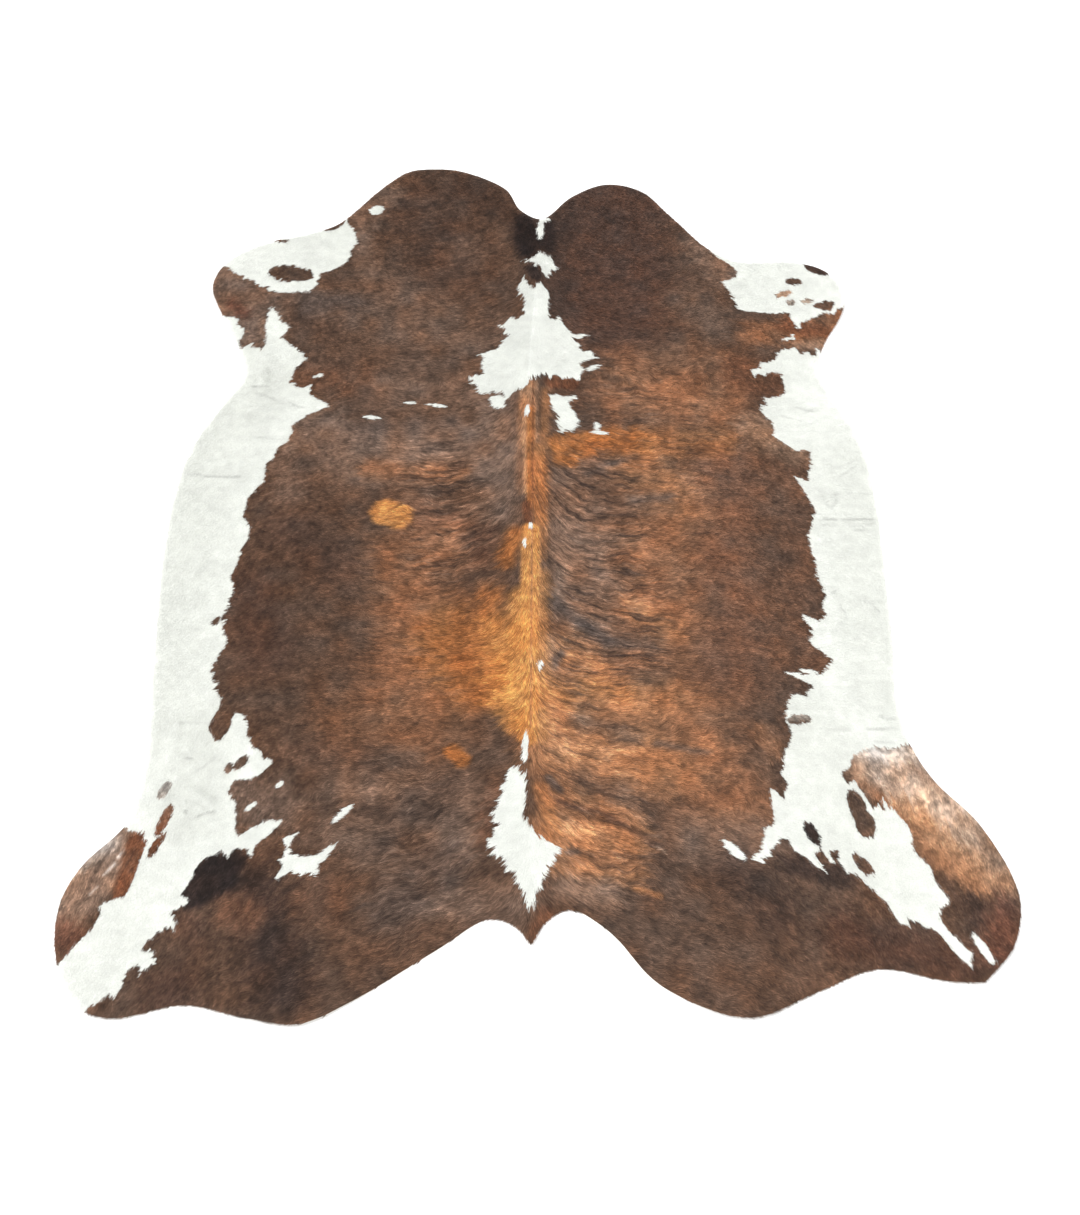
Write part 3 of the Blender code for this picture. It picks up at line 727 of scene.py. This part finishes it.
# Brindle: dark and light streaks, and pale hairs among the brown.
BRINDLE_LEAST = 0.16  # outside the strokes
STREAKS = ((0.75, 0.0065, 0.045, 31), (0.65, 0.017, 0.100, 33))
DARK_FROM = (0.08, 0.58)  # from where a streak starts to where it is whole
LIGHT_FROM = (0.08, 0.63)
DARK_SHARE = 0.95
LIGHT_SHARE = 0.28
DARK_MIX = (0.60, 0.70)  # shares of seal gained and of the coat's tone lost in a dark streak
GLEAM_STRANDS = (0.0042, 0.020, 35)
GLEAM_FROM = (0.20, 0.65)
GLEAM_MIX = (0.40, 0.66)  # shares of peach and of the coat's tone in a pale hair
GLEAM_SHARE = 0.36
GLEAM_LEAST = 0.20  # share of them outside the brindle
GLEAM_WHOLE = 0.8  # brindle from which all of them show
# Mottle: everywhere, on short hair alone, and along the strands, less so on short hair.
MOTTLE = ((0.16, 0.007, 0.007, 41), (0.12, 0.022, 0.022, 42))
SHORT_MOTTLE = ((0.11, 0.0045, 0.0045, 44), (0.07, 0.013, 0.013, 45))
STRAND_MOTTLE = (0.0042, 0.018, 43)
STRAND_SHARE = (0.14, 0.6)  # height, and the share that short hair loses
WARMTH = ((0.05, 0.045, 0.045, 46),)
WARM = np.array((1.0, 0.0, -1.0))  # red gains what blue loses


def tone(name):
    """Levels of a named tone."""
    return np.array(TONE[name], float)


def tufted(x, y, out, across, share):
    """The same places, moved along the hair by the tufts, so that a border comes out in tufts."""
    dx, dy = lie_direction(x, y)
    spike = SPIKE_LEVEL - np.abs(layered(across, out, SPIKES))
    length = SPIKE_LENGTH + layered(across, out, SPIKE_LENGTHS)
    shift = share * (spike * length + layered(across, out, BAYS))
    aside = share * layered(across, out, SIDEWAYS)
    return x - dx * shift - dy * aside, y - dy * shift + dx * aside


def in_spots(x, y, spots):
    """True for the points inside any of the oval spots."""
    found = np.zeros(len(x), bool)
    for spot in spots:
        along, aside = oval_place(x, y, spot)
        found |= along * along + aside * aside < 1.0
    return found


def is_white(x, y, out, across):
    """True where the hair is white."""
    flank = between(np.abs(x), *FLANK_X)
    area_x, area_y = tufted(x, y, out, across, 1.0 + (FLANK_TUFTS - 1.0) * flank)
    white = np.zeros(len(x), bool)
    for corners in WHITE:
        white |= inside(area_x, area_y, np.reshape(corners, (-1, 2)) / MM)
    x, y = tufted(x, y, out, across, SPOT_TUFTS)
    return white & ~in_spots(x, y, BROWN_SPOTS) | in_spots(x, y, WHITE_SPOTS)


def stroke_weight(x, y, stroke):
    """How strongly a stroke covers each place, 0 to 1."""
    x0, y0, x1, y1, reach, soft = stroke[:6]
    run_x, run_y = x1 - x0, y1 - y0
    share = ((x - x0) * run_x + (y - y0) * run_y) / max(run_x * run_x + run_y * run_y, 1e-9)
    share = np.clip(share, 0.0, 1.0)
    apart = np.hypot(x - x0 - share * run_x, y - y0 - share * run_y)
    return stroke[-1] * fade((reach + soft / 2 - apart) / soft)


def most_weight(x, y, strokes, least):
    """The strongest of several strokes at each place."""
    return np.maximum.reduce([stroke_weight(x, y, stroke) for stroke in strokes] + [least + 0.0 * x])


def white_levels(x, y):
    """Tones of the white hair: yellower and greyer on the bellies."""
    belly = most_weight(x, y, BELLIES, 0.0)[:, None]
    levels = tone("snow") + (tone("milk") - tone("snow")) * belly
    return levels * (1.0 + layered(x, y, BELLY_CLOUDS))[:, None]


def stroked_levels(x, y, out, across):
    """Tones of the strokes, whose borders run ragged with the hair."""
    levels = np.tile(tone("umber"), (len(x), 1))
    dx, dy = lie_direction(x, y)
    near = fade(np.abs(out) / RAGGED_X)
    shift = (RAGGED_LEAST + (1.0 - RAGGED_LEAST) * near) * strands(out, across, *RAGGED_STRANDS)
    aside = near * layered(x, y, RAGGED_ASIDE)
    for stroke in STROKES:
        ragged = min(1.0, stroke[5] / RAGGED_SOFT) * RAGGED
        ragged_x = x - (dx * shift + dy * aside) * ragged
        ragged_y = y - (dy * shift - dx * aside) * ragged
        weight = stroke_weight(ragged_x, ragged_y, stroke)[:, None]
        levels = levels + (tone(stroke[6]) - levels) * weight
    return levels


def brindled_levels(x, y, out, across, levels):
    """The same tones with the brindle's streaks and the pale hairs."""
    brindled = most_weight(x, y, BRINDLES, BRINDLE_LEAST)
    streak = sum(share * strands(out, across, *cell) for share, *cell in STREAKS)
    dark = (brindled * between(streak, *DARK_FROM) * DARK_SHARE)[:, None]
    light = (brindled * between(-streak, *LIGHT_FROM) * LIGHT_SHARE)[:, None]
    levels = levels + (DARK_MIX[0] * tone("seal") - DARK_MIX[1] * levels) * dark
    levels = levels * (1.0 + light)
    gleam = between(strands(out, across, *GLEAM_STRANDS), *GLEAM_FROM)
    gleam = gleam * (GLEAM_LEAST + (1.0 - GLEAM_LEAST) * fade(brindled / GLEAM_WHOLE))
    pale_hair = GLEAM_MIX[0] * tone("peach") + GLEAM_MIX[1] * levels
    return levels + (pale_hair - levels) * (GLEAM_SHARE * gleam)[:, None]


def mottle(x, y, out, across):
    """How much lighter or darker each place is, as a share."""
    short = shortness(x, y)
    share = STRAND_SHARE[0] * (1.0 - STRAND_SHARE[1] * short)
    running = share * strands(out, across, *STRAND_MOTTLE)
    return layered(x, y, MOTTLE) + running + short * layered(x, y, SHORT_MOTTLE)


def coat_levels(x, y):
    """The hair's tone at each place, as sRGB levels, with painted shade in the creases."""
    out, across = lie(x, y)
    levels = brindled_levels(x, y, out, across, stroked_levels(x, y, out, across))
    levels = levels * (1.0 + mottle(x, y, out, across))[:, None]
    levels = levels * (1.0 + layered(x, y, WARMTH)[:, None] * WARM)
    levels = np.where(is_white(x, y, out, across)[:, None], white_levels(x, y), levels)
    # painted shade in the creases
    return levels * (1.0 - CREASE_PAINTED_SHADE * crease(x, y))[:, None]


def paleness(levels):
    """1 for white hair and 0 for brown."""
    return between(levels[:, 1], *PALE)


# ---- meshes ----
def linear(levels):
    """Linear colour of sRGB levels."""
    share = np.clip(levels, 0.0, 255.0) / 255.0
    return np.where(share > 0.04045, ((share + 0.055) / 1.055) ** 2.4, share / 12.92)


def add_object(name, data):
    """A new object in the scene."""
    made = bpy.data.objects.new(name, data)
    bpy.context.scene.collection.objects.link(made)
    return made


def make_piece(name, points, faces, bake_places, levels):
    """A mesh of triangles, with a place on the baked map for each corner and each point's tone."""
    mesh = bpy.data.meshes.new(name)
    mesh.vertices.add(len(points))
    mesh.vertices.foreach_set("co", points.astype(np.float32).ravel())
    mesh.loops.add(faces.size)
    mesh.loops.foreach_set("vertex_index", faces.astype(np.int32).ravel())
    mesh.polygons.add(len(faces))
    mesh.polygons.foreach_set("loop_start", np.arange(0, faces.size, 3, dtype=np.int32))
    mesh.update(calc_edges=True)
    layer = mesh.uv_layers.new(name="OFBake")
    layer.uv.foreach_set("vector", bake_places.astype(np.float32).ravel())
    colours = np.ones((len(levels), 4), np.float32)
    colours[:, :3] = linear(levels)
    attribute = mesh.color_attributes.new("coat", "FLOAT_COLOR", "POINT")
    attribute.data.foreach_set("color", colours.ravel())
    return add_object(name, mesh)


def triangles(points, loop_length):
    """Delaunay triangles of the points inside the loop that the first loop_length of them make."""
    edges = [(i, (i + 1) % loop_length) for i in range(loop_length)]
    result = delaunay_2d_cdt([Vector(point) for point in points], edges, [], 1, 1e-7)
    if len(result[0]) != len(points):
        raise ValueError("two points of the sheet meet")
    return np.array(result[2])


def field(step):
    """Staggered places, a step apart, all over the hide's box."""
    low, high = EDGE.min(0), EDGE.max(0)
    row_step = step * math.sqrt(0.75)
    columns = np.arange(math.ceil((high[0] - low[0]) / step) + 1)
    rows = np.arange(math.ceil((high[1] - low[1]) / row_step) + 1)
    column, row = np.meshgrid(columns, rows)
    x = low[0] + (column + 0.5 * (row % 2)) * step
    return x.ravel(), (low[1] + row * row_step).ravel()


# ---- the skin ----
def filled_edge(step):
    """The cut edge's points, then those of a field that lie well inside it."""
    x, y = field(step)
    kept = depth(x, y) > max(EDGE_CLEAR * step, EDGE_CLEAR_ROUND * EDGE_ROUND)
    return np.concatenate((EDGE, np.column_stack((x[kept], y[kept]))))


def bulged_edge():
    """The cut edge's points, moved a little outwards."""
    along = np.roll(EDGE, -1, 0) - np.roll(EDGE, 1, 0)
    along /= np.hypot(along[:, 0], along[:, 1])[:, None]
    return EDGE + np.column_stack((along[:, 1], -along[:, 0])) * EDGE_BULGE


def strip(low, high):
    """Two triangles for each step of two closed rows of vertices, low and high."""
    next_low, next_high = np.roll(low, -1), np.roll(high, -1)
    first = np.column_stack((low, next_low, next_high))
    second = np.column_stack((low, next_high, high))
    return np.stack((first, second), 1).reshape(-1, 3)


def plan_places(points, faces, scale, left):
    """Places of the faces' corners on the baked map, seen in plan."""
    return (points[faces.ravel(), :2] - EDGE.min(0)) / scale + (left, MAP_GAP)


def wall_places(count, row):
    """Places of one row of the cut edge's faces on the baked map, unrolled in a few lengths."""
    steps = np.arange(count)
    length = math.ceil(count / WALL_LENGTHS)
    left = WALL_LEFT + (steps % length) / length * WALL_WIDTH
    right = left + WALL_WIDTH / length
    low = WALL_LOW + steps // length * WALL_RISE * WALL_APART + row * WALL_RISE / 2
    high = low + WALL_RISE / 2
    first = (left, low, right, low, right, high)
    return np.stack((*first, left, low, right, high, left, high), 1).reshape(-1, 2)


def mark_corners(mesh, count, first_low):
    """Keeps the two corners of the cut edge sharp."""
    ends = np.empty(len(mesh.edges) * 2, np.int32)
    mesh.edges.foreach_get("vertices", ends)
    low, high = np.sort(ends.reshape(-1, 2), 1).T
    sharp = np.zeros(len(mesh.edges), bool)
    for first in (0, first_low):
        in_row = (low >= first) & (high < first + count)
        sharp |= in_row & ((high - low == 1) | (high - low == count - 1))
    attribute = mesh.attributes.new("sharp_edge", "BOOLEAN", "EDGE")
    attribute.data.foreach_set("value", sharp)


def build_skin():
    """The closed sheet: undercoat on top, cut edge all round and suede underneath."""
    top, low = filled_edge(TOP_STEP), filled_edge(LOW_STEP)
    x, y = top.T
    points = np.concatenate((
        np.column_stack((top, undercoat_top(x, y))),
        np.column_stack((low, underside(*low.T))),
        np.column_stack((bulged_edge(), underside(*EDGE.T) + SKIN / 2)),
    ))
    count, first_low = len(EDGE), len(top)
    rim, middle = np.arange(count), np.arange(count) + first_low + len(low)
    top_faces = triangles(top, count)
    low_faces = triangles(low, count)[:, ::-1] + first_low
    wall_faces = np.concatenate((strip(rim + first_low, middle), strip(middle, rim)))
    faces = np.concatenate((top_faces, low_faces, wall_faces))
    places = np.concatenate((
        plan_places(points, top_faces, TOP_MAP, MAP_GAP),
        plan_places(points, low_faces, LOW_MAP, LOW_LEFT),
        wall_places(count, 0),
        wall_places(count, 1),
    ))
    levels = np.tile(tone("snow"), (len(points), 1))
    under = coat_levels(x, y)
    # painted shade on the undercoat between the locks, less on white hair
    levels[:first_low] = under * (UNDERCOAT_PAINTED_SHADE + PALE_UNDERCOAT * paleness(under))[:, None]
    piece = make_piece("hide_skin", points, faces, places, levels)
    mesh = piece.data
    slots = np.repeat((0, 1, 2), (len(top_faces), len(low_faces), len(wall_faces)))
    mesh.polygons.foreach_set("material_index", slots.astype(np.int32))
    mesh.polygons.foreach_set("use_smooth", np.ones(len(faces), bool))
    mark_corners(mesh, count, first_low)
    for material in (coat_material("undercoat", 0.75), suede_material(), edge_material()):
        mesh.materials.append(material)
    return piece


# ---- the hair ----
def hair_roots(random):
    """Places of the roots: a shaken field inside the cut edge."""
    x, y = field(HAIR_GAP)
    x = x + random.uniform(-HAIR_SHAKE, HAIR_SHAKE, len(x)) * HAIR_GAP
    y = y + random.uniform(-HAIR_SHAKE, HAIR_SHAKE, len(x)) * HAIR_GAP
    kept = depth(x, y) > ROOT_CLEAR
    return x[kept], y[kept]


def hair_aim(x, y, random):
    """Unit direction of each lock in plan: the lie of the hair, a little frayed."""
    dx, dy = lie_direction(x, y)
    turn = HAIR_FRAY * (1.0 + shortness(x, y)) * random.normal(0.0, 1.0, len(x))
    turn = turn + TUFT_TURN * noise(x / TUFT_SIZE, y / TUFT_SIZE, 61)
    c, s = np.cos(turn), np.sin(turn)
    return dx * c - dy * s, dx * s + dy * c


def hair_length(x, y, dx, dy, random):
    """Length of each lock, cut so that no tip stands far over the cut edge."""
    length = HAIR_LENGTH + (HAIR_SHORT - HAIR_LENGTH) * shortness(x, y)
    length = length * random.uniform(*LENGTH_SPREAD, len(x))
    here = depth(x, y)
    there = depth(x + dx * length, y + dy * length)
    fitting = (here + HAIR_OVERHANG * random.uniform(*OVERHANG_SPREAD, len(x))) / (here - there + 1e-6)
    over = there < -HAIR_OVERHANG * OVERHANG_SPREAD[0]
    return np.where(over, length * np.clip(fitting, SHORTEST, 1.0), length)


def lock_points(x, y, dx, dy, length, pale, random):
    """The three corners of each lock: two at its root and its tip."""
    half = HAIR_WIDTH / 2 * random.uniform(*WIDTH_SPREAD, len(x))
    roll = random.uniform(-1.0, 1.0, len(x)) * HAIR_ROLL * (1.0 - PALE_ROLL * pale)
    base = undercoat_top(x, y) - HAIR_SINK
    tip_x, tip_y = x + dx * length, y + dy * length
    rise = HAIR_RISE * random.uniform(*RISE_SPREAD, len(x)) - CREASE_DEPTH * crease(tip_x, tip_y)
    over = np.clip(-depth(tip_x, tip_y), 0.0, HAIR_OVERHANG)
    tip = underside(tip_x, tip_y) + SKIN + coat_depth(tip_x, tip_y) + rise - TIP_DROOP * over
    left = np.column_stack((x - dy * half, y + dx * half, base + roll * half))
    right = np.column_stack((x + dy * half, y - dx * half, base - roll * half))
    return np.stack((right, np.column_stack((tip_x, tip_y, tip)), left), 1)


def lock_levels(levels, pale, random):
    """Tones of each lock's three corners: painted shade at the root and painted light at the tip."""
    pale = pale[:, None]
    spread = random.normal(0.0, LOCK_SPREAD, len(levels))
    spread = np.clip(spread, -2 * LOCK_SPREAD, 3 * LOCK_SPREAD)[:, None]
    tip = levels * (1.0 + spread * (1.0 - PALE_SPREAD * pale))
    tip = tip * (TIP_PAINTED_LIGHT + (1.0 - TIP_PAINTED_LIGHT) * pale)
    root = levels * (ROOT_PAINTED_SHADE + (PALE_ROOT_PAINTED_SHADE - ROOT_PAINTED_SHADE) * pale)
    return np.stack((root, tip, root), 1)


def hair_map_places(points, left):
    """Places on the baked map: the strip's two halves side by side, each seen in plan."""
    fore = points[:, :1, 1] > 0.0
    x = points[:, :, 0] - left + np.where(fore, HAIR_MAP / 2, 0.0)
    y = points[:, :, 1] + np.where(fore, 0.0, -EDGE.min(0)[1])
    return (np.stack((x, y), 2).reshape(-1, 2) + HAIR_CLEAR) / HAIR_MAP


def build_hair():
    """The coat, as four pieces side by side from the left flank to the right."""
    random = np.random.default_rng(HAIR_SEED)
    x, y = hair_roots(random)
    dx, dy = hair_aim(x, y, random)
    length = hair_length(x, y, dx, dy, random)
    levels = coat_levels(x + dx * length / 2, y + dy * length / 2)
    pale = paleness(levels)
    points = lock_points(x, y, dx, dy, length, pale, random)
    levels = lock_levels(levels, pale, random)
    material = coat_material("hair", 0.50)
    limits = np.quantile(x, np.linspace(0.0, 1.0, len(HAIR_PIECES) + 1))
    limits[-1] += 1.0
    pieces = []
    for name, low, high in zip(HAIR_PIECES, limits, limits[1:]):
        mine = (x >= low) & (x < high)
        corners = points[mine]
        faces = np.arange(len(corners) * 3).reshape(-1, 3)
        places = hair_map_places(corners, low)
        tones = levels[mine].reshape(-1, 3)
        pieces.append(make_piece(name, corners.reshape(-1, 3), faces, places, tones))
        pieces[-1].data.materials.append(material)
    return pieces


# ---- materials ----
def set_inputs(material, node, inputs):
    """Sets a node's inputs, each to a value or to another node's output."""
    for name, value in inputs.items():
        if isinstance(value, bpy.types.NodeSocket):
            material.node_tree.links.new(value, node.inputs[name])
        else:
            node.inputs[name].default_value = value


def new_material(name, roughness, specular):
    """(material, shader) of a new material."""
    material = bpy.data.materials.new(name)
    material.use_nodes = True
    shader = material.node_tree.nodes["Principled BSDF"]
    set_inputs(material, shader, {"Roughness": roughness, "Specular IOR Level": specular})
    return material, shader


def add_node(material, kind, **inputs):
    """A new node with these inputs."""
    node = material.node_tree.nodes.new(kind)
    set_inputs(material, node, inputs)
    return node


def add_noise(material, scale, detail):
    """Noise over the object's own places."""
    places = add_node(material, "ShaderNodeTexCoord").outputs["Object"]
    texture = add_node(material, "ShaderNodeTexNoise", Vector=places, Scale=scale, Detail=detail)
    return texture.outputs["Factor" if "Factor" in texture.outputs else "Fac"]


def add_bump(material, shader, height, distance, strength):
    """Bump from a height output, in metres."""
    inputs = {"Height": height, "Distance": distance, "Strength": strength}
    bump = add_node(material, "ShaderNodeBump", **inputs)
    set_inputs(material, shader, {"Normal": bump.outputs["Normal"]})


def add_ramp(material, factor, stops):
    """Colour ramp over a factor. stops are rows of (place, sRGB levels)."""
    ramp = add_node(material, "ShaderNodeValToRGB")
    elements = ramp.color_ramp.elements
    while len(elements) < len(stops):
        elements.new(0.5)
    for element, (place, levels) in zip(elements, stops):
        element.position = place
        element.color = (*linear(np.array(levels, float)), 1.0)
    set_inputs(material, ramp, {"Factor" if "Factor" in ramp.inputs else "Fac": factor})
    return ramp.outputs["Color"]


def coat_material(name, roughness):
    """Hair: its own colour from the mesh, broken up by a fine grain."""
    material, shader = new_material(name, roughness, 0.12)
    own = add_node(material, "ShaderNodeAttribute")
    own.attribute_name = "coat"
    grain = add_noise(material, 420.0, 2.0)
    shades = add_ramp(material, grain, ((0.25, (232, 232, 232)), (0.75, (255, 255, 255))))
    blend = add_node(material, "ShaderNodeMix")
    blend.data_type = "RGBA"
    blend.blend_type = "MULTIPLY"
    set_inputs(material, blend, {"Factor": 1.0, "A": own.outputs["Color"], "B": shades})
    set_inputs(material, shader, {"Base Color": blend.outputs["Result"]})
    add_bump(material, shader, grain, 0.0004, 0.5)
    return material


def skin_material(name, roughness, specular, tones, clouds, nap, bump):
    """Bare skin: tones over the clouds of one noise, and the nap or fibres of another."""
    material, shader = new_material(name, roughness, specular)
    colour = add_ramp(material, add_noise(material, *clouds), tones)
    set_inputs(material, shader, {"Base Color": colour})
    add_bump(material, shader, add_noise(material, *nap), *bump)
    return material


def suede_material():
    """Underside: buffed suede, off-white with faint warm clouds and a short nap."""
    tones = ((0.30, (206, 192, 172)), (0.52, (224, 213, 196)), (0.75, (236, 228, 214)))
    return skin_material("suede", 0.92, 0.15, tones, (5.0, 5.0), (900.0, 4.0), (0.0005, 0.7))


def edge_material():
    """Cut edge: pale fibres of the tanned skin."""
    fibres = (260.0, 4.0)
    tones = ((0.30, (204, 193, 176)), (0.70, (232, 226, 214)))
    return skin_material("cut_edge", 0.85, 0.20, tones, fibres, fibres, (0.0004, 0.6))


# ---- floor, light and camera ----
def build_floor():
    """A wide, plain and pale floor under the hide."""
    mesh = bpy.data.meshes.new("floor")
    signs = ((-1, -1), (1, -1), (1, 1), (-1, 1))
    corners = [(x * FLOOR_HALF, y * FLOOR_HALF, FLOOR_DROP) for x, y in signs]
    mesh.from_pydata(corners, [], [(0, 1, 2, 3)])
    material, shader = new_material("floor", 0.80, 0.10)
    set_inputs(material, shader, {"Base Color": (FLOOR_TONE, FLOOR_TONE, FLOOR_TONE, 1.0)})
    mesh.materials.append(material)
    add_object("floor", mesh)


def light_scene():
    """Even studio light with a soft key from the upper left."""
    world = bpy.data.worlds.new("studio")
    bpy.context.scene.world = world
    world.use_nodes = True
    sky = world.node_tree.nodes["Background"]
    sky.inputs["Color"].default_value = (1.0, 1.0, 1.0, 1.0)
    sky.inputs["Strength"].default_value = SKY_STRENGTH
    sun = bpy.data.lights.new("key", "SUN")
    sun.energy = KEY_STRENGTH
    sun.angle = KEY_ANGLE
    add_object("key", sun).rotation_euler = Vector(KEY_FROM).to_track_quat("Z", "Y").to_euler()
    bpy.context.scene.view_settings.view_transform = "Standard"


def place_camera():
    """The photo's own view: a little over 60 degrees down, from the tail end."""
    data = bpy.data.cameras.new("camera")
    data.sensor_width = SENSOR
    data.lens = FOCAL_PIXELS / PHOTO_HEIGHT * SENSOR
    data.clip_start = 0.05
    data.clip_end = 60.0
    back = Vector((0.0, -math.cos(VIEW_ELEVATION), math.sin(VIEW_ELEVATION)))
    camera = add_object("camera", data)
    camera.location = VIEW_POINT + back * VIEW_DISTANCE
    camera.rotation_euler = back.to_track_quat("Z", "Y").to_euler()
    bpy.context.scene.camera = camera


def build_rug():
    """The skin and its hair, riding on the solid."""
    skin = build_skin()
    hair = build_hair()
    for piece in (skin, *hair):
        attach(piece, "root")
    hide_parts("hide")


build_rug()
build_floor()
light_scene()
place_camera()
